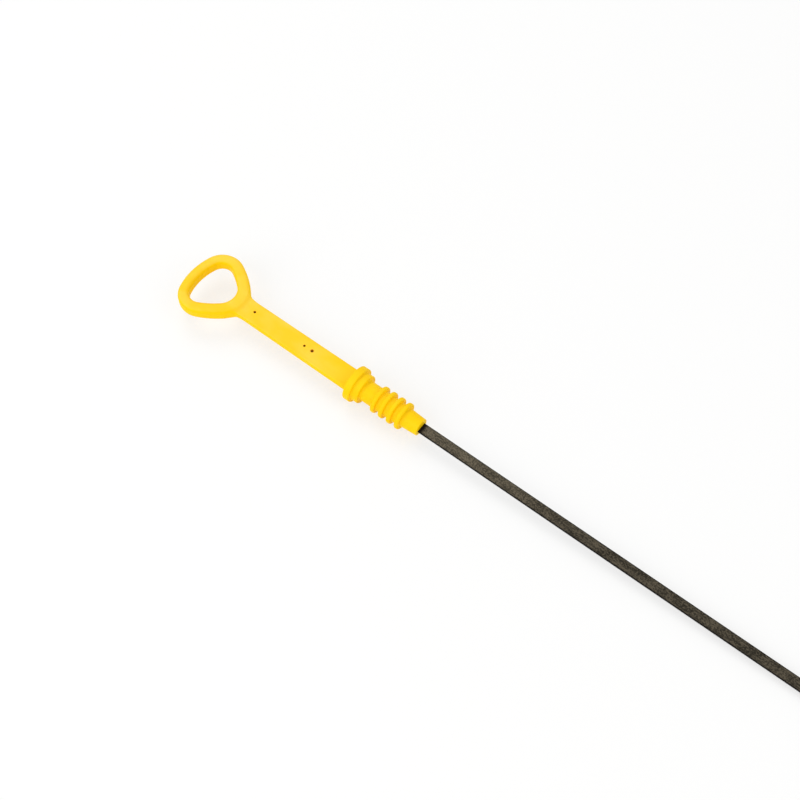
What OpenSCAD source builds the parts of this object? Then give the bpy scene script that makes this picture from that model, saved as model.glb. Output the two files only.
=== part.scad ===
// Engine oil dipstick: a moulded handle with a finger loop and a ribbed plug, on a steel strip.
// It lies on the floor as it comes to rest: on the rim of its collar and on the strip's tip.
// The floor is z = 0, and +X points along the stick to its tip.

/* [Finger loop] */
// Width across the loop's outer sides
loop_w = 35.3; // [32:0.1:42]
// Length of the loop's centre line along the stick
loop_len = 25.5; // [23:0.1:30]
// Width of the loop's bar at its far side, seen from above
bar_w_far = 5.1; // [4.4:0.1:5.8]
// Width of the loop's bar at the stem
bar_w_apex = 6.1; // [5.2:0.1:6.8]
// Height of the loop's bar
loop_bar_h = 6.6; // [5:0.1:8]
// Rounding along the edges of the loop's bar
loop_edge = 2; // [1.2:0.1:2.2]
// Bend of the loop's far side, at its centre line
far_r = 29.5; // [24:0.5:60]
// Bend of the loop's two corners, at their centre line
corner_r = 8.1; // [5.5:0.1:9]
// Bend of the loop's long sides, at their centre line
side_r = 41; // [36:0.5:80]
// Bend at the stem end of the loop, at its centre line
apex_r = 10.5; // [7:0.1:12]

/* [Stem] */
// Distance from the collar's seat to the centre line at the loop's stem end
stem_len = 70.4; // [60:0.1:90]
// Width of the stem beside the loop
stem_w_loop = 10.4; // [9:0.1:12]
// Width of the stem at the collar
stem_w_collar = 10.9; // [9:0.1:13]
// Thickness of the stem
stem_t = 3; // [2.6:0.1:4]
// Rounding along the stem's edges
stem_edge = 0.8; // [0.4:0.1:1.2]
// Fillet between the stem and the loop
root_r = 9; // [6:0.5:14]
// Width of the stem where it runs into the loop
root_w = 14; // [12.6:0.1:16]
// Height of the stem where it runs into the loop
root_h = 6; // [4.4:0.1:6.2]

/* [Collar and pilot] */
// Radius of the stop collar
collar_r = 8.4; // [8.2:0.1:10]
// Thickness of the stop collar
collar_t = 3.5; // [2.5:0.1:5]
// Radius of the pilot disc in front of the collar's seat
pilot_r = 6.9; // [6.7:0.1:7.3]
// Thickness of the pilot disc
pilot_t = 3.4; // [2.4:0.1:4.5]
// Rounding of the rims
rim_edge = 0.5; // [0.3:0.1:0.8]

/* [Ribbed plug] */
// Radius of the plug's core
core_r = 4.9; // [4.4:0.1:5.4]
// Radius of the sealing ribs
rib_r = 6.5; // [6.1:0.05:6.6]
// Thickness of each rib
rib_t = 2.2; // [1.8:0.1:2.6]
// Rounding of the ribs' crests
rib_edge = 0.8; // [0.5:0.05:0.9]
// Distance from rib to rib
rib_pitch = 4.35; // [3.8:0.05:5]
// Number of ribs
rib_count = 4; // [3:1:5]
// Distance from the collar's seat to the middle of the first rib
rib_start = 11.1; // [9.6:0.1:13]
// Length of the tail in front of the last rib
tail_len = 8.2; // [6:0.1:14]
// Radius of the tail in front of the last rib
tail_r = 4.6; // [4.3:0.1:5]
// Radius of the tail at its tip
tail_tip_r = 4.05; // [3.6:0.05:4.4]

/* [Blade] */
// Width of the steel strip
blade_w = 5; // [4:0.1:5.6]
// Thickness of the steel strip
blade_t = 1; // [0.8:0.05:1.2]
// Length of the strip in front of the plug
blade_len = 269; // [240:1:420]
// Distance from the strip's inner end to the centre line at the loop's stem end
tang_inset = 5.5; // [4:0.5:9]
// Gap between the moulding and the strip's tang
tang_gap = 0.02; // [0.01:0.01:0.05]
// Radius of the two level marks, holes near the tip
mark_r = 0.8; // [0.5:0.1:1.2]
// Distance from the tip to the low level mark
mark_low = 14; // [8:1:30]
// Distance between the two level marks
mark_gap = 20; // [12:1:35]

/* [Pin marks] */
// Radius of the holes that the mould's locating pins leave in the stem
pin_r = 0.55; // [0.4:0.05:0.7]
// Distance from the strip's inner end to the mark beside the loop
pin_in = 4.1; // [2:0.1:8]
// Place of the middle pair along the stem, as a part of its length from the collar's seat
pin_mid_part = 0.42; // [0.3:0.01:0.6]
// Distance between the two marks of the middle pair
pin_pair = 4.4; // [3:0.1:6]
// How far the pin marks sit to one side of the stem's middle
pin_side = 0.4; // [0:0.1:1]

/* [Hidden] */
smooth = 64;
// How far the pocket's cut runs out of the tail
mouth_lap = 1;
// Steps round each corner of a section, along each arc of the loop, and along the stem's fillet
corner_steps = 5;
far_steps = 4;
turn_steps = 13;
side_steps = 5;
apex_steps = 7;
root_steps = 7;
// Part of a quarter turn that the stem's fillet takes
root_sweep = 60;

// Stations along the handle, from the collar's seat
apex_x = -stem_len;
far_x = apex_x - loop_len;
last_rib_x = rib_start + (rib_count - 1) * rib_pitch;
plug_end_x = last_rib_x + rib_t / 2 + tail_len;
tip_x = plug_end_x + blade_len;
tang_x = apex_x + tang_inset;
pair_x = -stem_len * pin_mid_part;
pins_x = [tang_x + pin_in, pair_x - pin_pair / 2, pair_x + pin_pair / 2];

// Tangent arcs of the loop's centre line: far side, corner, long side and apex
bar_w_side = (bar_w_far + bar_w_apex) / 2;
half_w = (loop_w - bar_w_side) / 2;
far_c = [far_x + far_r, 0];
corner_y = half_w - corner_r;
far_a = asin(corner_y / (far_r - corner_r));
corner_c = far_c + (far_r - corner_r) * [-cos(far_a), sin(far_a)];
apex_c = [apex_x - apex_r, 0];
side_c = meeting_point(corner_c, side_r - corner_r, apex_c, side_r - apex_r);
corner_a = heading(corner_c - side_c);
side_a = heading(apex_c - side_c);

// Slope of the stick, from the collar's rim down to the strip's lower face at its tip
rest_drop = collar_r - rim_edge - blade_t / 2;
rest_run = tip_x + rim_edge;
lie_tilt = acos(-rim_edge / norm([rest_drop, rest_run])) - atan2(rest_run, rest_drop);

// Height of the axis at the collar's seat, and the stick's two ends on the floor's plan
seat_h = (collar_r - rim_edge) * cos(lie_tilt) + rim_edge - rim_edge * sin(lie_tilt);
bar_flat_w = bar_w_far / 2 - loop_edge;
bar_flat_h = loop_bar_h / 2 - loop_edge;
reach_back = far_x * cos(lie_tilt) - bar_flat_w * cos(lie_tilt) - bar_flat_h * sin(lie_tilt) - loop_edge;
reach_front = tip_x * cos(lie_tilt) + blade_t / 2 * sin(lie_tilt);

// Direction of a flat vector, in degrees
function heading(v) = atan2(v[1], v[0]);

// Lower point that lies r from a and s from b
function meeting_point(a, r, b, s) =
    let (d = b - a, gap = norm(d), along = (r * r - s * s + gap * gap) / (2 * gap))
    let (off = sqrt(r * r - along * along), dir = d / gap)
    a + along * dir + off * [dir[1], -dir[0]];

// Puts the handle's own frame, with its origin at the seat, in the frame of the floor
module lying() {
    translate([-(reach_back + reach_front) / 2, 0, seat_h]) rotate([0, lie_tilt, 0]) children();
}

// Rounded rectangle of w by h with corner radius r, as a closed list of points
function bar_section(w, h, r) = [
    for (q = [0 : 3], k = [0 : corner_steps - 1])
        let (a = 90 * q + 90 * k / (corner_steps - 1))
        let (sx = (q == 0 || q == 3) ? 1 : -1, sy = q < 2 ? 1 : -1)
        [sx * (w / 2 - r) + r * cos(a), sy * (h / 2 - r) + r * sin(a)]
];

// Skin over rings of equal length: closed on itself, or with flat ends
module skin(rings, closed) {
    n = len(rings[0]);
    m = len(rings);
    walls = [
        for (i = [0 : m - (closed ? 1 : 2)], j = [0 : n - 1])
            let (a = i * n, b = ((i + 1) % m) * n, k = (j + 1) % n)
            each [[a + j, b + j, b + k], [a + j, b + k, a + k]]
    ];
    ends = closed ? [] : [[for (j = [0 : n - 1]) j], [for (j = [n - 1 : -1 : 0]) (m - 1) * n + j]];
    polyhedron([for (ring = rings) each ring], concat(walls, ends));
}

// Stations along one arc, each with its centre, radius and heading
function arc_stations(centre, r, from, to, steps) =
    [for (i = [0 : steps - 1]) [centre, r, from + (to - from) * i / steps]];

// Stations round one half of the loop, from the far side to the stem
half_loop = concat(
    arc_stations(far_c, far_r, 180, 180 - far_a, far_steps),
    arc_stations(corner_c, corner_r, 180 - far_a, corner_a, turn_steps),
    arc_stations(side_c, side_r, corner_a, side_a, side_steps),
    arc_stations(apex_c, apex_r, side_a, 0, apex_steps),
    [[apex_c, apex_r, 0]]
);
other_half = [
    for (i = [len(half_loop) - 2 : -1 : 1])
        let (s = half_loop[i]) [[s[0][0], -s[0][1]], s[1], -s[2]]
];

// Ring of the bar's section at one station
function loop_section(s) =
    let (out = [cos(s[2]), sin(s[2])], mid = s[0] + s[1] * out)
    let (w = bar_w_far + (bar_w_apex - bar_w_far) * (mid[0] - far_x) / loop_len)
    [for (p = bar_section(w, loop_bar_h, loop_edge)) [mid[0] + p[0] * out[0], mid[1] + p[0] * out[1], p[1]]];

// Finger loop: the rounded bar swept round its centre line
module finger_loop() {
    skin([for (s = concat(half_loop, other_half)) loop_section(s)], true);
}

// How far the fillet stands out, d before its end
function root_rise(d) = root_r - sqrt(root_r * root_r - d * d);

// Stem's section at station x, grown by a share of the fillet's full width and height
function stem_section(x, w, share) =
    let (grown_w = w + (root_w - w) * share, grown_h = stem_t + (root_h - stem_t) * share)
    let (r = stem_edge + (loop_edge - stem_edge) * share)
    [for (p = bar_section(grown_w, grown_h, r)) [x, p[0], p[1]]];

// Flat stem, a little wider at the collar, lofted through a fillet into the loop
module stem() {
    root_len = root_r * sin(root_sweep);
    skin([
        for (i = [root_steps : -1 : 0])
            let (d = root_len * i / root_steps)
            stem_section(apex_x + root_len - d, stem_w_loop, root_rise(d) / root_rise(root_len)),
        stem_section(-collar_t / 2, stem_w_collar, 0)
    ], false);
}

// Disc on the axis with rims rounded to e, as a half profile
module rim_profile(r, t, e) {
    translate([0, e]) square([r, t - 2 * e]);
    square([r - e, t]);
    for (y = [e, t - e])
        translate([r - e, y]) circle(e, $fn = smooth);
}

// Collar, pilot, core, ribs and tail, turned about the axis
module plug_profile() {
    translate([0, -collar_t]) rim_profile(collar_r, collar_t, rim_edge);
    translate([0, -rim_edge]) rim_profile(pilot_r, pilot_t + rim_edge, rim_edge);
    square([core_r, last_rib_x]);
    for (i = [0 : rib_count - 1])
        translate([0, rib_start + i * rib_pitch - rib_t / 2]) rim_profile(rib_r, rib_t, rib_edge);
    polygon([
        [0, last_rib_x],
        [tail_r, last_rib_x],
        [tail_tip_r, plug_end_x - rim_edge],
        [tail_tip_r - rim_edge, plug_end_x],
        [0, plug_end_x]
    ]);
}

module plug() {
    rotate([0, 90, 0]) rotate_extrude($fn = 2 * smooth) plug_profile();
}

// Pocket for the strip's tang, with a gap all round, open at the tail's end
module pocket() {
    translate([tang_x - tang_gap, -blade_w / 2 - tang_gap, -blade_t / 2 - tang_gap])
        cube([plug_end_x + mouth_lap - tang_x + tang_gap, blade_w + 2 * tang_gap, blade_t + 2 * tang_gap]);
}

module handle() color([0.98, 0.76, 0.05]) lying() difference() {
    union() {
        finger_loop();
        stem();
        plug();
    }
    pocket();
    for (x = pins_x) translate([x, pin_side, 0]) cylinder(stem_t, pin_r, pin_r, $fn = smooth);
}

// Steel strip from its inner end in the stem to its round tip, with the two level marks
module blade() color([0.17, 0.17, 0.16]) lying() linear_extrude(blade_t, center = true) difference() {
    union() {
        translate([tang_x, -blade_w / 2]) square([tip_x - blade_w / 2 - tang_x, blade_w]);
        translate([tip_x - blade_w / 2, 0]) circle(blade_w / 2, $fn = smooth);
    }
    for (d = [mark_low, mark_low + mark_gap])
        translate([tip_x - d, 0]) circle(mark_r, $fn = smooth);
}

handle();
blade();
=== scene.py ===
import math
import bmesh
import bpy
from mathutils import Euler, Matrix, Vector

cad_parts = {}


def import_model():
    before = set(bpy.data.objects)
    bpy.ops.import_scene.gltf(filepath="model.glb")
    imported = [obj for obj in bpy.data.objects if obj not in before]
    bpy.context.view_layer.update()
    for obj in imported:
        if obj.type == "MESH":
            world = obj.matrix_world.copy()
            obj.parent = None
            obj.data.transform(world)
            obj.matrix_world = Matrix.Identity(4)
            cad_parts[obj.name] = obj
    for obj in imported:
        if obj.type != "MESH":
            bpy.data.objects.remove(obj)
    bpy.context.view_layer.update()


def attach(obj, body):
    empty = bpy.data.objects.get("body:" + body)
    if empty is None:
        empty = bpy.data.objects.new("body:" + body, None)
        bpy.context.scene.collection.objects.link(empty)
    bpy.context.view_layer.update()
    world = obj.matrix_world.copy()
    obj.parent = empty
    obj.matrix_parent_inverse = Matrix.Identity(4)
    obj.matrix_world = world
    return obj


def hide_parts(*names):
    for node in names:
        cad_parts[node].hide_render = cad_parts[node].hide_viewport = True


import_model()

# Camera: it looks down on the stick from its near side, at the photograph's angle, from half a
# metre away. The target is the middle of the collar's rear face, at its place in the picture.
# The picture's side, the focal length and the target's place in the picture are in pixels.
PICTURE = 800
FOCAL = 1150.0
SENSOR = 36.0
ELEVATION = 59.644
TURN = 37.142
ROLL = 0.202
TARGET = Vector((-0.105453, 0, 0.008476))
TARGET_PIXEL = (353.738, 381.913)
TARGET_DEPTH = 0.504052
NEAREST = 0.01
FURTHEST = 30.0


def add_object(name, data):
    """A new object of the scene that holds that mesh, lamp or camera."""
    made = bpy.data.objects.new(name, data)
    bpy.context.scene.collection.objects.link(made)
    return made


def place_camera():
    el, turn, roll = (math.radians(a) for a in (ELEVATION, TURN, ROLL))
    ahead = Vector((-math.sin(turn) * math.cos(el), math.cos(turn) * math.cos(el), -math.sin(el)))
    level = Vector((math.cos(turn), math.sin(turn), 0))
    plumb = level.cross(ahead)
    right = level * math.cos(roll) + plumb * math.sin(roll)
    up = plumb * math.cos(roll) - level * math.sin(roll)
    across = (TARGET_PIXEL[0] - PICTURE / 2) / FOCAL * TARGET_DEPTH
    above = (PICTURE / 2 - TARGET_PIXEL[1]) / FOCAL * TARGET_DEPTH
    spot = TARGET - right * across - up * above - ahead * TARGET_DEPTH
    lens = bpy.data.cameras.new("camera")
    lens.sensor_width = SENSOR
    lens.lens = SENSOR * FOCAL / PICTURE
    lens.clip_start = NEAREST
    lens.clip_end = FURTHEST
    camera = add_object("camera", lens)
    turned = Matrix((right, up, -ahead)).transposed().to_4x4()
    camera.matrix_world = Matrix.Translation(spot) @ turned
    bpy.context.scene.camera = camera


place_camera()


# Floor: a pale table top that runs far past the picture. It takes the shadow as paint does, and
# it glows a little for the camera and for reflections, so that open floor reads as white. Further
# out it fades into the white of the room, so that no horizon shows.
FLOOR_SIDE = 12.0
FLOOR_PAINT = (0.94, 0.94, 0.93)
FLOOR_SHOWN = 0.337
FLOOR_GLOW = 0.652
WHITE_GLOW = 1.0
FADE_START = 0.3
FADE_END = 1.3


class Tree:
    """A node tree that is written as formulas: node() adds any node and returns its output."""

    def __init__(self, group):
        self.group = group

    def node(self, kind, settings=None, values=None, out=0):
        made = self.group.nodes.new(kind)
        for name, value in (settings or {}).items():
            setattr(made, name, value)
        for name, value in (values or {}).items():
            for one in value if isinstance(value, list) else [value]:
                if isinstance(one, Wire):
                    self.group.links.new(one.socket, made.inputs[name])
                else:
                    made.inputs[name].default_value = one
        return Wire(self, made.outputs[out]) if len(made.outputs) else None


class Wire:
    """One output socket. A sum on it adds the Math node that does it."""

    def __init__(self, tree, socket):
        self.tree = tree
        self.socket = socket

    def maths(self, operation, *values):
        numbers = dict(enumerate((self, *values)))
        return self.tree.node("ShaderNodeMath", {"operation": operation}, numbers)

    def back(self, operation, value):
        return self.tree.node("ShaderNodeMath", {"operation": operation}, {0: value, 1: self})

    def __add__(self, value):
        return self.maths("ADD", value)

    def __radd__(self, value):
        return self.back("ADD", value)

    def __sub__(self, value):
        return self.maths("SUBTRACT", value)

    def __rsub__(self, value):
        return self.back("SUBTRACT", value)

    def __mul__(self, value):
        return self.maths("MULTIPLY", value)

    def __rmul__(self, value):
        return self.back("MULTIPLY", value)

    def __truediv__(self, value):
        return self.maths("DIVIDE", value)

    def __abs__(self):
        return self.maths("ABSOLUTE")

    def __gt__(self, value):
        return self.maths("GREATER_THAN", value)

    def least(self, value):
        return self.maths("MINIMUM", value)

    def most(self, value):
        return self.maths("MAXIMUM", value)

    def root(self):
        return self.maths("SQRT")

    def other(self, name):
        """Another output of the same node."""
        return Wire(self.tree, self.socket.node.outputs[name])

    def parts(self):
        """The three numbers of a vector."""
        split = self.tree.node("ShaderNodeSeparateXYZ", {}, {0: self})
        return [split.other(axis) for axis in "XYZ"]


def hypot(a, b):
    return (a * a + b * b).root()


def ramp(wire, low, high):
    """0 below low, 1 above high, and smooth between."""
    values = {"Value": wire, "From Min": low, "From Max": high}
    return wire.tree.node("ShaderNodeMapRange", {"interpolation_type": "SMOOTHSTEP"}, values)


def new_material(name):
    made = bpy.data.materials.new(name)
    made.use_nodes = True
    made.node_tree.nodes.clear()
    return made, Tree(made.node_tree)


def floor_paint():
    made, tree = new_material("floor_paint")
    ray = tree.node("ShaderNodeLightPath")
    seen = ray.other("Is Camera Ray").most(ray.other("Is Glossy Ray"))
    seen = seen.most(ray.other("Is Transmission Ray"))
    shown_paint = tuple(c * FLOOR_SHOWN for c in FLOOR_PAINT)
    matt = tree.node("ShaderNodeBsdfDiffuse", {}, {"Color": (*FLOOR_PAINT, 1)})
    pale = tree.node("ShaderNodeBsdfDiffuse", {}, {"Color": (*shown_paint, 1)})
    glow = tree.node("ShaderNodeEmission", {}, {"Strength": FLOOR_GLOW})
    near = tree.node("ShaderNodeAddShader", {}, {0: pale, 1: glow})
    white = tree.node("ShaderNodeEmission", {}, {"Strength": WHITE_GLOW})
    x, y, _ = tree.node("ShaderNodeTexCoord", out="Object").parts()
    fade = ramp(hypot(x, y), FADE_START, FADE_END)
    shown = tree.node("ShaderNodeMixShader", {}, {0: fade, 1: near, 2: white})
    both = tree.node("ShaderNodeMixShader", {}, {0: seen, 1: matt, 2: shown})
    tree.node("ShaderNodeOutputMaterial", {}, {"Surface": both})
    return made


def make_floor():
    half = FLOOR_SIDE / 2
    corners = [(-half, -half, 0), (half, -half, 0), (half, half, 0), (-half, half, 0)]
    mesh = bpy.data.meshes.new("floor")
    mesh.from_pydata(corners, [], [(0, 1, 2, 3)])
    mesh.materials.append(floor_paint())
    floor = add_object("floor", mesh)


make_floor()


# Light: a large soft box above the far left of the stick, whose sheen lies on the handle and fades
# along the blade, one more behind the camera and one at the right. Round them is a plain pale
# room, which the camera sees as white. Places and sides are in metres.
KEY_PLACE = (-0.75, 0.45, 1.0)
KEY_SIDE = 0.8
KEY_WATTS = 4.5
FILL_PLACE = (-0.3, -1.0, 0.65)
FILL_SIDE = 1.0
FILL_WATTS = 6.3
RIGHT_PLACE = (0.95, 0.1, 0.9)
RIGHT_SIDE = 0.9
RIGHT_WATTS = 3.5
ROOM_GLOW = 0.61
WHITE = (1, 1, 1, 1)


def soft_box(name, place, side, watts):
    lamp = bpy.data.lights.new(name, "AREA")
    lamp.size = side
    lamp.energy = watts
    box = add_object(name, lamp)
    box.location = place
    box.rotation_euler = (-Vector(place)).to_track_quat("-Z", "Y").to_euler()


def make_light():
    soft_box("key_box", KEY_PLACE, KEY_SIDE, KEY_WATTS)
    soft_box("fill_box", FILL_PLACE, FILL_SIDE, FILL_WATTS)
    soft_box("side_box", RIGHT_PLACE, RIGHT_SIDE, RIGHT_WATTS)
    world = bpy.data.worlds.new("room")
    world.use_nodes = True
    world.node_tree.nodes.clear()
    tree = Tree(world.node_tree)
    seen = tree.node("ShaderNodeLightPath").other("Is Camera Ray")
    room = tree.node("ShaderNodeBackground", {}, {"Color": WHITE, "Strength": ROOM_GLOW})
    white = tree.node("ShaderNodeBackground", {}, {"Color": WHITE, "Strength": WHITE_GLOW})
    both = tree.node("ShaderNodeMixShader", {}, {0: seen, 1: room, 2: white})
    tree.node("ShaderNodeOutputWorld", {}, {"Surface": both})
    bpy.context.scene.world = world
    bpy.context.scene.view_settings.view_transform = "Standard"


make_light()


# Handle: one injection moulding in yellow plastic. Its finger loop, flat stem, stop collar, pilot,
# neck, four sealing ribs and tail run into each other through small fillets, as a mould needs.
# Sizes are in millimetres along the handle, from the collar's seat, with z up through the stem.
MM = 0.001

# Finger loop: a round-edged bar along a centre line of four tangent arcs on each side
LOOP_WIDTH = 35.3
LOOP_LENGTH = 25.5
BAR_FAR = 5.1
BAR_NEAR = 6.1
BAR_HEIGHT = 6.6
BAR_EDGE = 2.0
FAR_BEND = 29.5
CORNER_BEND = 8.1
SIDE_BEND = 41.0
NEAR_BEND = 10.5

# Flat stem, which widens and thickens into the loop along a sweep of ROOT_BEND
STEM_LENGTH = 70.4
STEM_FAR = 10.4
STEM_NEAR = 10.9
STEM_THICK = 3.0
STEM_EDGE = 0.8
ROOT_BEND = 9.0
ROOT_SWEEP = math.radians(60)
ROOT_WIDTH = 14.0
ROOT_HEIGHT = 6.0

# Turned plug: radius and thickness of its discs, and its tail's radius at both ends
COLLAR = (8.4, 3.5)
PILOT = (6.9, 3.4)
PILOT_LAP = 1.0
RIM_EDGE = 0.5
CORE = 4.9
RIB = (6.5, 2.2)
RIB_EDGE = 0.8
RIB_PITCH = 4.35
RIB_COUNT = 4
RIB_START = 11.1
TAIL_LENGTH = 8.2
TAIL = (4.6, 4.05)
TAIL_EDGE = 0.35

# Hollow fillets: from loop to stem, growing from the bar's top to its sides, then round the ribs,
# the tail, the pilot and the collar, and where the stem meets the plug
JOIN_TOP_BEND = 0.1
JOIN_BEND = 1.8
JOIN_SPAN = (-BAR_EDGE, -BAR_EDGE / 4)
RIB_BEND = 0.45
TAIL_BEND = 0.35
PILOT_BEND = 0.5
COLLAR_BEND = 0.3
STEM_BEND = 0.6

# Steel strip inside the moulding, its pocket, and the marks of the pins that held it in the mould
STRIP_WIDTH = 5.0
STRIP_THICK = 1.0
STRIP_LENGTH = 269.0
TANG_INSET = 5.5
TANG_GAP = 0.02
MOUTH_LAP = 1.0
PIN_RADIUS = 0.55
PIN_IN = 4.1
PIN_MIDDLE = 0.42
PIN_PAIR = 4.4
PIN_SIDE = 0.4
PAIR_X = -STEM_LENGTH * PIN_MIDDLE
PIN_PLACES = (-STEM_LENGTH + TANG_INSET + PIN_IN, PAIR_X - PIN_PAIR / 2, PAIR_X + PIN_PAIR / 2)

# Fineness of the drawn skin, and how far it is kept inside the solid's own surface
GRAIN = 0.27
HAZE = 6 * GRAIN
MARGIN = 1.0
PULLS = 2
SLOPE_STEP = 0.02
SLOPE_LEAST = 0.2
SKIN = 0.015
HOLE_SIDES = 40
CREASE = math.radians(50)


def loop_arcs():
    """Centre and bend of the four arcs of half the loop's centre line, from the far side."""
    near_x = -STEM_LENGTH
    far_x = near_x - LOOP_LENGTH
    half = (LOOP_WIDTH - (BAR_FAR + BAR_NEAR) / 2) / 2
    far = Vector((far_x + FAR_BEND, 0))
    corner_y = half - CORNER_BEND
    reach = FAR_BEND - CORNER_BEND
    corner = far + Vector((-math.sqrt(reach ** 2 - corner_y ** 2), corner_y))
    near = Vector((near_x - NEAR_BEND, 0))
    a, b = SIDE_BEND - CORNER_BEND, SIDE_BEND - NEAR_BEND
    gap = near - corner
    along = (a * a - b * b + gap.length_squared) / (2 * gap.length)
    off = math.sqrt(a * a - along * along)
    way = gap.normalized()
    side = corner + along * way + off * Vector((way.y, -way.x))
    return (*far, FAR_BEND), (*corner, CORNER_BEND), (*side, SIDE_BEND), (*near, NEAR_BEND)


LAST_RIB = RIB_START + (RIB_COUNT - 1) * RIB_PITCH
PLUG_END = LAST_RIB + RIB[1] / 2 + TAIL_LENGTH
TIP_X = PLUG_END + STRIP_LENGTH

# The stick lies on its collar's rim and its tip: its slope, and the seat's place on the floor
REST_DROP = COLLAR[0] - RIM_EDGE - STRIP_THICK / 2
REST_RUN = TIP_X + RIM_EDGE
LEAN = math.acos(-RIM_EDGE / math.hypot(REST_DROP, REST_RUN)) - math.atan2(REST_RUN, REST_DROP)


def seat_place():
    """The collar's seat, in metres, with the origin on the floor midway between both ends."""
    flat_x = STEM_LENGTH + LOOP_LENGTH + BAR_FAR / 2 - BAR_EDGE
    flat_z = BAR_HEIGHT / 2 - BAR_EDGE
    reach_back = -flat_x * math.cos(LEAN) - flat_z * math.sin(LEAN) - BAR_EDGE
    reach_front = TIP_X * math.cos(LEAN) + STRIP_THICK / 2 * math.sin(LEAN)
    height = (COLLAR[0] - RIM_EDGE) * math.cos(LEAN) + RIM_EDGE * (1 - math.sin(LEAN))
    return Vector((-(reach_back + reach_front) / 2, 0, height)) * MM


SEAT = seat_place()
SLOPE = Euler((0, LEAN, 0))
SCALE = Vector((MM, MM, MM))

FAR_ARC, CORNER_ARC, SIDE_ARC, NEAR_ARC = loop_arcs()
SIZES = {
    "Far Arc": FAR_ARC,
    "Corner Arc": CORNER_ARC,
    "Side Arc": SIDE_ARC,
    "Near Arc": NEAR_ARC,
    "Bar Far Width": BAR_FAR,
    "Bar Near Width": BAR_NEAR,
    "Bar Height": BAR_HEIGHT,
    "Stem Length": STEM_LENGTH,
    "Stem Far Width": STEM_FAR,
    "Stem Near Width": STEM_NEAR,
    "Stem Thickness": STEM_THICK,
    "Collar Radius": COLLAR[0],
    "Collar Thickness": COLLAR[1],
    "Pilot Radius": PILOT[0],
    "Pilot Thickness": PILOT[1],
    "Core Radius": CORE,
    "Rib Radius": RIB[0],
    "Rib Thickness": RIB[1],
    "Rib Pitch": RIB_PITCH,
    "Rib Count": float(RIB_COUNT),
    "Rib Start": RIB_START,
    "Tail Radius": TAIL[0],
    "Tail Tip Radius": TAIL[1],
    "Plug End": PLUG_END,
}


def new_group(name, takes, gives):
    """An empty node group that takes those sockets and all sizes as its named inputs."""
    group = bpy.data.node_groups.new(name, "GeometryNodeTree")
    for socket, kind in takes.items():
        group.interface.new_socket(socket, in_out="INPUT", socket_type=kind)
    for socket, value in SIZES.items():
        kind = "NodeSocketVector" if isinstance(value, tuple) else "NodeSocketFloat"
        made = group.interface.new_socket(socket, in_out="INPUT", socket_type=kind)
        made.default_value = value
    for socket, kind in gives.items():
        group.interface.new_socket(socket, in_out="OUTPUT", socket_type=kind)
    tree = Tree(group)
    source = tree.node("NodeGroupInput")
    return tree, {socket: source.other(socket) for socket in (*takes, *SIZES)}


def rounded(u, v, edge):
    """Distance to a rounded corner, from the distances u and v past its two sides."""
    u = u + edge
    v = v + edge
    return hypot(u.most(0), v.most(0)) + u.most(v).least(0) - edge


def filleted(a, b, bend):
    """The union of two shapes, with a hollow fillet where they meet."""
    return a.least(b).most(bend) - hypot((bend - a).most(0), (bend - b).most(0))


def between(share, start, end):
    """The start where the share is 0, and the end where it is 1."""
    return start + (end - start) * share


def loop_line(x, y, arcs):
    """Distance from the loop's centre line: each arc counts in its own sector."""
    far, corner, side, near = arcs
    past = [hypot(x - cx, y - cy) - bend for cx, cy, bend in arcs]

    def before(a, b):
        return (b[0] - a[0]) * (y - a[1]) - (b[1] - a[1]) * (x - a[0]) > 0

    line = between(before(side, near), past[3], past[2])
    line = between(before(side, corner), line, past[1])
    return between(before(far, corner) * (corner[0] - x > 0), line, past[0])


def grip_shape(x, y, z, size):
    """The finger loop and the flat stem that widens into it."""
    arcs = [size[name + " Arc"].parts() for name in ("Far", "Corner", "Side", "Near")]
    start = -1 * size["Stem Length"]
    far_x = arcs[0][0] - arcs[0][2]
    along = (x - far_x) / (start - far_x)
    bar_half = between(along, size["Bar Far Width"], size["Bar Near Width"]) * 0.5
    beside = abs(loop_line(x, y, arcs)) - bar_half
    loop = rounded(beside, z - size["Bar Height"] * 0.5, BAR_EDGE)

    root_length = ROOT_BEND * math.sin(ROOT_SWEEP)
    root_rise = ROOT_BEND * (1 - math.cos(ROOT_SWEEP))
    into = (start + root_length - x).most(0).least(root_length)
    rise = (ROOT_BEND - (ROOT_BEND ** 2 - into * into).root()) / root_rise
    slim_share = (x - start) / size["Stem Length"]
    slim = between(slim_share, size["Stem Far Width"], size["Stem Near Width"])
    stem_half = between(rise, slim, ROOT_WIDTH) * 0.5
    stem_top = between(rise, size["Stem Thickness"], ROOT_HEIGHT) * 0.5
    stem = rounded(y - stem_half, z - stem_top, between(rise, STEM_EDGE, BAR_EDGE))
    stem = stem.most(start - x).most(x + size["Collar Thickness"] * 0.5)

    bend = between(ramp(beside, *JOIN_SPAN), JOIN_TOP_BEND, JOIN_BEND)
    return filleted(loop, stem, bend)


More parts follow.
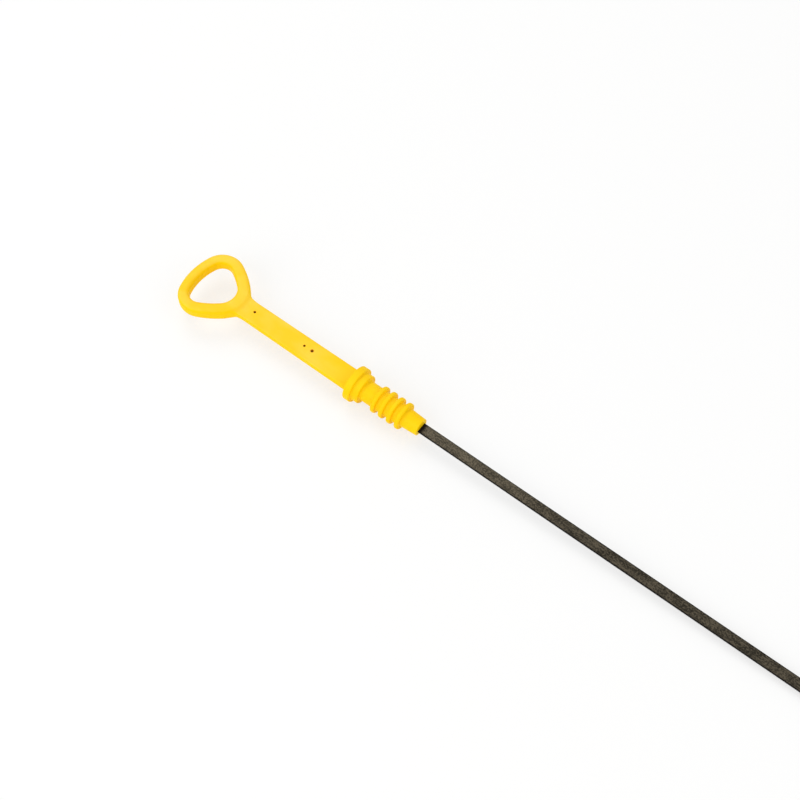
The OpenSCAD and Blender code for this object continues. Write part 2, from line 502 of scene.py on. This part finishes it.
def plug_shape(x, out, size):
    """Collar, pilot, core, ribs and tail, all turned about the handle's axis."""
    def disc(middle, half, radius, edge):
        return rounded(abs(x - middle) - half, out - radius, edge)

    collar_half = size["Collar Thickness"] * 0.5
    collar = disc(-1 * collar_half, collar_half, size["Collar Radius"], RIM_EDGE)
    pilot_middle = (size["Pilot Thickness"] - PILOT_LAP) * 0.5
    pilot_half = (size["Pilot Thickness"] + PILOT_LAP) * 0.5
    pilot = disc(pilot_middle, pilot_half, size["Pilot Radius"], RIM_EDGE)
    last = size["Rib Start"] + (size["Rib Count"] - 1) * size["Rib Pitch"]
    core = (out - size["Core Radius"]).most(x - last).most(-1 * x)
    turn = ((x - size["Rib Start"]) / size["Rib Pitch"]).maths("ROUND")
    turn = turn.most(0).least(size["Rib Count"] - 1)
    rib_middle = size["Rib Start"] + turn * size["Rib Pitch"]
    rib = disc(rib_middle, size["Rib Thickness"] * 0.5, size["Rib Radius"], RIB_EDGE)
    shrink = (x - last) / (size["Plug End"] - last)
    tail_out = between(shrink, size["Tail Radius"], size["Tail Tip Radius"])
    tail = rounded(x - size["Plug End"], out - tail_out, TAIL_EDGE).most(last - x)

    plug = filleted(core, rib, RIB_BEND)
    plug = filleted(plug, tail, TAIL_BEND)
    plug = filleted(plug, pilot, PILOT_BEND)
    return filleted(plug, collar, COLLAR_BEND)


def distance_group():
    """How far a point is from the moulding's surface, by the rules of its shape."""
    takes = {"Point": "NodeSocketVector"}
    tree, size = new_group("moulding_distance", takes, {"Distance": "NodeSocketFloat"})
    x, y, z = size["Point"].parts()
    y, z = abs(y), abs(z)
    whole = filleted(grip_shape(x, y, z, size), plug_shape(x, hypot(y, z), size), STEM_BEND)
    tree.node("NodeGroupOutput", {}, {"Distance": whole + SKIN})
    return tree.group


def pulled(tree, skin, point, distance):
    """The skin with each point moved down the slope of the distance, onto the true surface."""
    here = distance(point)
    slope = []
    for k in range(3):
        nudge = tuple(SLOPE_STEP * (k == n) for n in range(3))
        moved = tree.node("ShaderNodeVectorMath", {"operation": "ADD"}, {0: point, 1: nudge})
        slope.append((distance(moved) - here) / SLOPE_STEP)
    steep = slope[0] * slope[0] + slope[1] * slope[1] + slope[2] * slope[2]
    back = here / steep.most(SLOPE_LEAST) * -1
    offset = tree.node("ShaderNodeCombineXYZ", {}, {k: slope[k] * back for k in range(3)})
    return tree.node("GeometryNodeSetPosition", {}, {"Geometry": skin, "Offset": offset})


def cut_tools(tree):
    """The pocket that the strip's tang fills, and the three pin holes down to it."""
    start = -STEM_LENGTH + TANG_INSET - TANG_GAP
    end = PLUG_END + MOUTH_LAP
    room = (end - start, STRIP_WIDTH + 2 * TANG_GAP, STRIP_THICK + 2 * TANG_GAP)
    tools = [(tree.node("GeometryNodeMeshCube", {}, {"Size": room}), ((end + start) / 2, 0, 0))]
    for place in PIN_PLACES:
        sizes = {"Vertices": HOLE_SIDES, "Radius": PIN_RADIUS, "Depth": STEM_THICK}
        hole = tree.node("GeometryNodeMeshCylinder", {}, sizes)
        tools.append((hole, (place, PIN_SIDE, STEM_THICK / 2)))
    return [tree.node("GeometryNodeTransform", {}, {"Geometry": tool, "Translation": place})
            for tool, place in tools]


def moulding_group():
    """The moulding's skin, drawn where its distance is nil, with the pocket and pin holes cut."""
    takes = {"Geometry": "NodeSocketGeometry", "Finish": "NodeSocketMaterial"}
    tree, size = new_group("moulding", takes, {"Geometry": "NodeSocketGeometry"})
    shape = distance_group()

    def distance(point):
        values = {"Point": point, **{name: size[name] for name in SIZES}}
        return tree.node("GeometryNodeGroup", {"node_tree": shape}, values)

    point = tree.node("GeometryNodeInputPosition")
    far_x = -STEM_LENGTH - LOOP_LENGTH - BAR_FAR / 2
    low = Vector((far_x - MARGIN, -LOOP_WIDTH / 2 - MARGIN, -COLLAR[0] - MARGIN))
    high = Vector((PLUG_END + MARGIN, LOOP_WIDTH / 2 + MARGIN, COLLAR[0] + MARGIN))
    block = {"Density": (0.5 - distance(point) / HAZE).most(0).least(1), "Background": 0.0}
    block.update({"Min": low, "Max": high})
    for axis, length in zip("XYZ", high - low):
        block["Resolution " + axis] = int(length / GRAIN)
    volume = tree.node("GeometryNodeVolumeCube", {}, block)
    skin = tree.node("GeometryNodeVolumeToMesh", {}, {"Volume": volume, "Threshold": 0.5})
    for _ in range(PULLS):
        skin = pulled(tree, skin, point, distance)
    cut = {"operation": "DIFFERENCE", "solver": "MANIFOLD"}
    skin = tree.node("GeometryNodeMeshBoolean", cut, {"Mesh 1": skin, "Mesh 2": cut_tools(tree)})
    lying = {"Geometry": skin, "Translation": SEAT, "Rotation": SLOPE, "Scale": SCALE}
    skin = tree.node("GeometryNodeTransform", {}, lying)
    smooth = {"Geometry": skin, "Shade Smooth": True}
    skin = tree.node("GeometryNodeSetShadeSmooth", {}, smooth)
    corner = abs(tree.node("GeometryNodeInputMeshEdgeAngle")) > CREASE
    sharp = {"Geometry": skin, "Selection": corner, "Shade Smooth": False}
    skin = tree.node("GeometryNodeSetShadeSmooth", {"domain": "EDGE"}, sharp)
    skin = tree.node("GeometryNodeRealizeInstances", {}, {"Geometry": skin})
    finished = {"Geometry": skin, "Material": size["Finish"]}
    skin = tree.node("GeometryNodeSetMaterial", {}, finished)
    tree.node("NodeGroupOutput", {}, {"Geometry": skin})
    return tree.group


def grown(name, group, settings):
    """A plain mesh object that holds what the node group makes with those settings."""
    seed = add_object(name + "_seed", bpy.data.meshes.new(name + "_seed"))
    modifier = seed.modifiers.new("grown", "NODES")
    modifier.node_group = group
    inputs = [item for item in group.interface.items_tree if item.in_out == "INPUT"]
    for item in inputs:
        if item.name in settings:
            modifier[item.identifier] = settings[item.name]
    depsgraph = bpy.context.evaluated_depsgraph_get()
    mesh = bpy.data.meshes.new_from_object(seed.evaluated_get(depsgraph), depsgraph=depsgraph)
    mesh.name = name
    mesh.materials.clear()
    mesh.materials.append(settings["Finish"])
    mesh.polygons.foreach_set("material_index", [0] * len(mesh.polygons))
    bpy.data.objects.remove(seed)
    return add_object(name, mesh)


def own_place(tree):
    """Object coordinates turned back to the stick's own millimetres, from the collar's seat."""
    place = tree.node("ShaderNodeTexCoord", out="Object")
    values = {"Vector": place, "Location": SEAT, "Rotation": SLOPE, "Scale": SCALE}
    return tree.node("ShaderNodeMapping", {"vector_type": "TEXTURE"}, values)


LOW_DETAIL = 1.0


def noise(tree, place, size, stretch=1.0, detail=2.0):
    """Soft random mottle, from 0 to 1, in patches of that many millimetres, longer along x."""
    step = (1 / (size * stretch), 1 / size, 1 / size)
    point = tree.node("ShaderNodeVectorMath", {"operation": "MULTIPLY"}, {0: place, 1: step})
    values = {"Vector": point, "Scale": 1.0, "Detail": detail, "Roughness": 0.5}
    return tree.node("ShaderNodeTexNoise", {}, values)


def blend(tree, share, a, b):
    """Colour a where the share is 0, and colour b where it is 1."""
    # The Mix node has its two colours at inputs 6 and 7, and the mixed one at output 2
    a, b = (colour if isinstance(colour, Wire) else (*colour, 1) for colour in (a, b))
    return tree.node("ShaderNodeMix", {"data_type": "RGBA"}, {0: share, 6: a, 7: b}, out=2)


def bumped(tree, relief):
    """The surface's normal over a relief in millimetres."""
    values = {"Strength": 1.0, "Distance": MM, "Height": relief}
    return tree.node("ShaderNodeBump", {}, values)


# Yellow plastic: deeper where the melt flowed. A painted sheen makes the upward-facing tops paler,
# much less on the plug, and painted shade darkens it brown round the pin holes. Its skin is satin,
# with a parting line half way up.
YELLOW = (0.985, 0.635, 0.001)
YELLOW_DEEP = (0.985, 0.600, 0.002)
YELLOW_SHEEN = (0.985, 0.651, 0.056)
SHEEN_SLOPES = (0.5, 0.95)
PLUG_SHEEN_LOSS = 0.88
FLOW_SIZE = 9.0
FLOW_STRETCH = 1.8
FLOW_LEVELS = (0.35, 0.65)
FLOW_DEPTH = 0.7
PIN_SHADE = (0.55, 0.17, 0.004)
PIN_SHADE_REACH = (0.22, 0.08, 0.6)
GLOSS = 0.46
SCUFF_SIZE = 1.6
SCUFF_STRETCH = 2.5
SCUFF_DETAIL = 4.0
SCUFF_LEVELS = (0.45, 0.7)
SCUFF_ROUGHNESS = 0.07
SATIN_SIZE = 0.28
SATIN_HEIGHT = 0.0035
SINK_SIZE = 6.0
SINK_HEIGHT = 0.05
SEAM_WIDTH = 0.09
SEAM_CREST = 0.036
SEAM_HEIGHT = 0.03
PLASTIC_IOR = 1.46
PLASTIC_SPECULAR = 0.08


def yellow_plastic():
    made, tree = new_material("yellow_plastic")
    place = own_place(tree)
    x, y, z = place.parts()
    up = tree.node("ShaderNodeTexCoord", out="Normal").parts()[2]
    # painted sheen: upward-facing tops are paler, and this fades out toward the plug
    top_sheen = ramp(up, *SHEEN_SLOPES) * (1 - ramp(x, PAIR_X, 0) * PLUG_SHEEN_LOSS)
    colour = blend(tree, top_sheen, YELLOW, YELLOW_SHEEN)
    flow = noise(tree, place, FLOW_SIZE, FLOW_STRETCH)
    colour = blend(tree, ramp(flow, *FLOW_LEVELS) * FLOW_DEPTH, colour, YELLOW_DEEP)
    # painted shade: brown rings round the pin holes, so that they look larger and deeper
    pin_shade = 0
    for pin, reach in zip(PIN_PLACES, PIN_SHADE_REACH):
        pin_shade = pin_shade + (1 - ramp(hypot(x - pin, y - PIN_SIDE), PIN_RADIUS, PIN_RADIUS + reach))
    colour = blend(tree, pin_shade * (z > 0), colour, PIN_SHADE)
    scuff = noise(tree, place, SCUFF_SIZE, SCUFF_STRETCH, SCUFF_DETAIL)
    rough = GLOSS + ramp(scuff, *SCUFF_LEVELS) * SCUFF_ROUGHNESS
    satin = noise(tree, place, SATIN_SIZE, detail=LOW_DETAIL)
    sink = noise(tree, place, SINK_SIZE, detail=LOW_DETAIL)
    seam = 1 - ramp(abs(z), SEAM_CREST, SEAM_WIDTH)
    relief = satin * SATIN_HEIGHT + sink * SINK_HEIGHT + seam * SEAM_HEIGHT
    shader = tree.node("ShaderNodeBsdfPrincipled", {}, {
        "Base Color": colour, "Roughness": rough, "IOR": PLASTIC_IOR,
        "Specular IOR Level": PLASTIC_SPECULAR, "Normal": bumped(tree, relief)})
    tree.node("ShaderNodeOutputMaterial", {}, {"Surface": shader})
    return made


def make_handle():
    settings = {**SIZES, "Finish": yellow_plastic()}
    handle = grown("handle_moulding", moulding_group(), settings)
    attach(handle, "root")
    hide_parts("handle")


make_handle()


# Blade: a strip of spring steel 5 mm wide and 1 mm thick, rolled with slightly rounded edges. Its
# round tip is punched with two level marks. The moulding is cast round its inner end.
MARK_RADIUS = 0.8
MARK_LOW = 14.0
MARK_GAP = 20.0
PUNCH_LENGTH = 3.0
STRIP_EDGE = 0.16
EDGE_STEPS = 4
RUN_STEPS = 60
TIP_STEPS = 24
TIP_INSIDE = 0.02


def strip_line():
    """Stations along the strip in the handle's place: x, and half the strip's width there."""
    half = STRIP_WIDTH / 2
    start = -STEM_LENGTH + TANG_INSET
    run = TIP_X - TIP_INSIDE - half - start
    line = [(start + run * i / RUN_STEPS, half) for i in range(RUN_STEPS + 1)]
    for i in range(1, TIP_STEPS + 1):
        turn = math.pi / 2 * i / TIP_STEPS
        line.append((start + run + half * math.sin(turn), max(half * math.cos(turn), TIP_INSIDE)))
    return line


def strip_section(half):
    """Points round the strip, from its near edge, with its edges rolled round."""
    edge = min(STRIP_EDGE, half)
    corners = ((1, 1), (-1, 1), (-1, -1), (1, -1))
    points = []
    for quarter, (sy, sz) in enumerate(corners):
        for k in range(EDGE_STEPS):
            turn = math.pi / 2 * (quarter + k / (EDGE_STEPS - 1))
            y = sy * (half - edge) + edge * math.cos(turn)
            points.append((y, sz * (STRIP_THICK / 2 - STRIP_EDGE) + STRIP_EDGE * math.sin(turn)))
    return points


def strip_mesh():
    """The strip's closed skin, in the handle's place."""
    points, faces = [], []
    line = strip_line()
    count = 4 * EDGE_STEPS
    for x, half in line:
        points += [(x, y, z) for y, z in strip_section(half)]
    for i in range(len(line) - 1):
        for k in range(count):
            n = (k + 1) % count
            a, b = i * count, (i + 1) * count
            faces.append((a + k, a + n, b + n, b + k))
    faces.append(tuple(reversed(range(count))))
    faces.append(tuple(range(len(points) - count, len(points))))
    mesh = bpy.data.meshes.new("strip")
    mesh.from_pydata(points, [], faces)
    work = bmesh.new()
    work.from_mesh(mesh)
    bmesh.ops.recalc_face_normals(work, faces=work.faces)
    work.to_mesh(mesh)
    work.free()
    return mesh


def mark_punch():
    """Two pins that stand through the strip where its level marks are."""
    work = bmesh.new()
    for back in (MARK_LOW, MARK_LOW + MARK_GAP):
        bmesh.ops.create_cone(
            work, cap_ends=True, segments=HOLE_SIDES, radius1=MARK_RADIUS, radius2=MARK_RADIUS,
            depth=PUNCH_LENGTH, matrix=Matrix.Translation((TIP_X - back, 0, 0)))
    mesh = bpy.data.meshes.new("punch")
    work.to_mesh(mesh)
    work.free()
    return mesh


# Dark steel: a matt, mottled phosphate finish. Painted shade makes it darkest at the strip's edges
# and in the tail's mouth, and darkens it a little with distance from the plug, as the light falls
# off there. Streaks run along the strip.
STEEL = (0.146, 0.122, 0.083)
STEEL_DARK = (0.022, 0.019, 0.012)
STEEL_BLACK = (0.006, 0.004, 0.003)
CLOUD_SIZE = 3.0
CLOUD_STRETCH = 2.2
CLOUD_PART = 0.25
SPECK_SIZE = 0.6
SPECK_STRETCH = 1.3
SPECK_DETAIL = 5.0
SPECK_PART = 0.6
SPECK_HEIGHT = 0.006
STREAK_SIZE = 0.5
STREAK_STRETCH = 12.0
STREAK_PART = 0.15
STREAK_HEIGHT = 0.004
MOTTLE_LEVELS = (0.40, 0.61)
MOTTLE_DEPTH = 0.8
FALLOFF_SHADE_SPAN = (15.0, 95.0)
FALLOFF_SHADE_DARK = 0.2
FALLOFF_SHADE_BLACK = 0.22
MOUTH_SHADE_SPAN = (0.8, 2.6)
EDGE_SHADE_BAND = 0.6
STEEL_ROUGHNESS = 0.5
SPECK_LEVELS = (0.4, 0.65)
SPECK_ROUGHNESS = 0.16
STEEL_SPECULAR = 0.1


def dark_steel():
    made, tree = new_material("dark_steel")
    place = own_place(tree)
    x, y, _ = place.parts()
    cloud = noise(tree, place, CLOUD_SIZE, CLOUD_STRETCH)
    speck = noise(tree, place, SPECK_SIZE, SPECK_STRETCH, SPECK_DETAIL)
    streak = noise(tree, place, STREAK_SIZE, STREAK_STRETCH, LOW_DETAIL)
    tone = cloud * CLOUD_PART + speck * SPECK_PART + streak * STREAK_PART
    # painted shade: the strip darkens with distance from the plug, as the light falls off
    falloff_shade = ramp(x - PLUG_END, *FALLOFF_SHADE_SPAN)
    mottle = (1 - ramp(tone, *MOTTLE_LEVELS)) * MOTTLE_DEPTH
    patina = blend(tree, mottle + falloff_shade * FALLOFF_SHADE_DARK, STEEL, STEEL_DARK)
    # painted shade: the strip turns black where it leaves the tail's mouth
    mouth_shade = 1 - ramp(x - PLUG_END, *MOUTH_SHADE_SPAN)
    # painted shade: a black band along each edge of the strip
    edge = ramp(abs(y), STRIP_WIDTH / 2 - EDGE_SHADE_BAND, STRIP_WIDTH / 2)
    # painted shade: black at the edges, in the tail's mouth and with distance from the plug
    black = (mouth_shade + edge + falloff_shade * FALLOFF_SHADE_BLACK).least(1)
    colour = blend(tree, black, patina, STEEL_BLACK)
    rough = STEEL_ROUGHNESS + ramp(speck, *SPECK_LEVELS) * SPECK_ROUGHNESS
    relief = speck * SPECK_HEIGHT + streak * STREAK_HEIGHT
    shader = tree.node("ShaderNodeBsdfPrincipled", {}, {
        "Base Color": colour, "Roughness": rough, "Specular IOR Level": STEEL_SPECULAR,
        "Normal": bumped(tree, relief)})
    tree.node("ShaderNodeOutputMaterial", {}, {"Surface": shader})
    return made


def make_blade():
    blade = add_object("blade_strip", strip_mesh())
    punch = add_object("punch", mark_punch())
    cut = blade.modifiers.new("punched", "BOOLEAN")
    cut.object = punch
    cut.operation = "DIFFERENCE"
    cut.solver = "MANIFOLD"
    depsgraph = bpy.context.evaluated_depsgraph_get()
    punched = blade.evaluated_get(depsgraph)
    blade.data = bpy.data.meshes.new_from_object(punched, depsgraph=depsgraph)
    blade.modifiers.clear()
    bpy.data.objects.remove(punch)
    blade.data.name = "blade_strip"
    blade.data.transform(Matrix.LocRotScale(SEAT, SLOPE, SCALE))
    blade.data.materials.clear()
    blade.data.materials.append(dark_steel())
    blade.data.shade_smooth()
    blade.data.set_sharp_from_angle(angle=CREASE)
    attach(blade, "root")
    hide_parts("blade")


make_blade()
